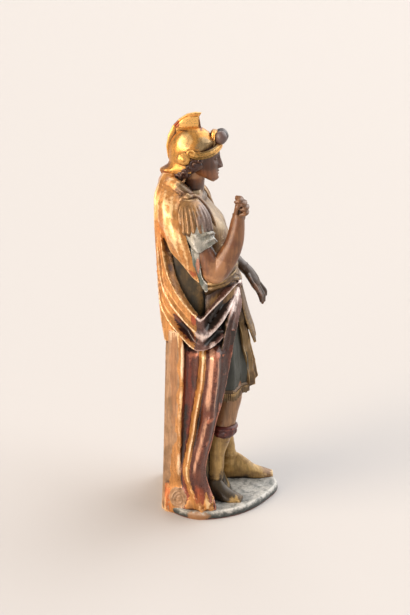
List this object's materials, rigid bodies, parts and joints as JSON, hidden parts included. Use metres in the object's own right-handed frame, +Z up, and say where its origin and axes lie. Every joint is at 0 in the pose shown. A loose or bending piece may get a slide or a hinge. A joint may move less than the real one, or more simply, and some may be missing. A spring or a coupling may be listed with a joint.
{
  "type": "ancient soldier statue",
  "caption": "Standing figure of a soldier in classical dress with crested helmet, cuirass and long mantle, carved in one with its plinth.",
  "frame": {"origin": "middle of the flat underside, level with the ground", "axes": "+Z up to the helmet's crest; the figure faces -Y and its right side is at -X"},
  "size_m": [0.1238, 0.1218, 0.3916],
  "materials": {
    "carved_wood": "carved limewood, gilded, lustred and painted, worn with age"
  },
  "bodies": {
    "root": {"soldier_statue": "carved_wood"}
  },
  "joints": []
}
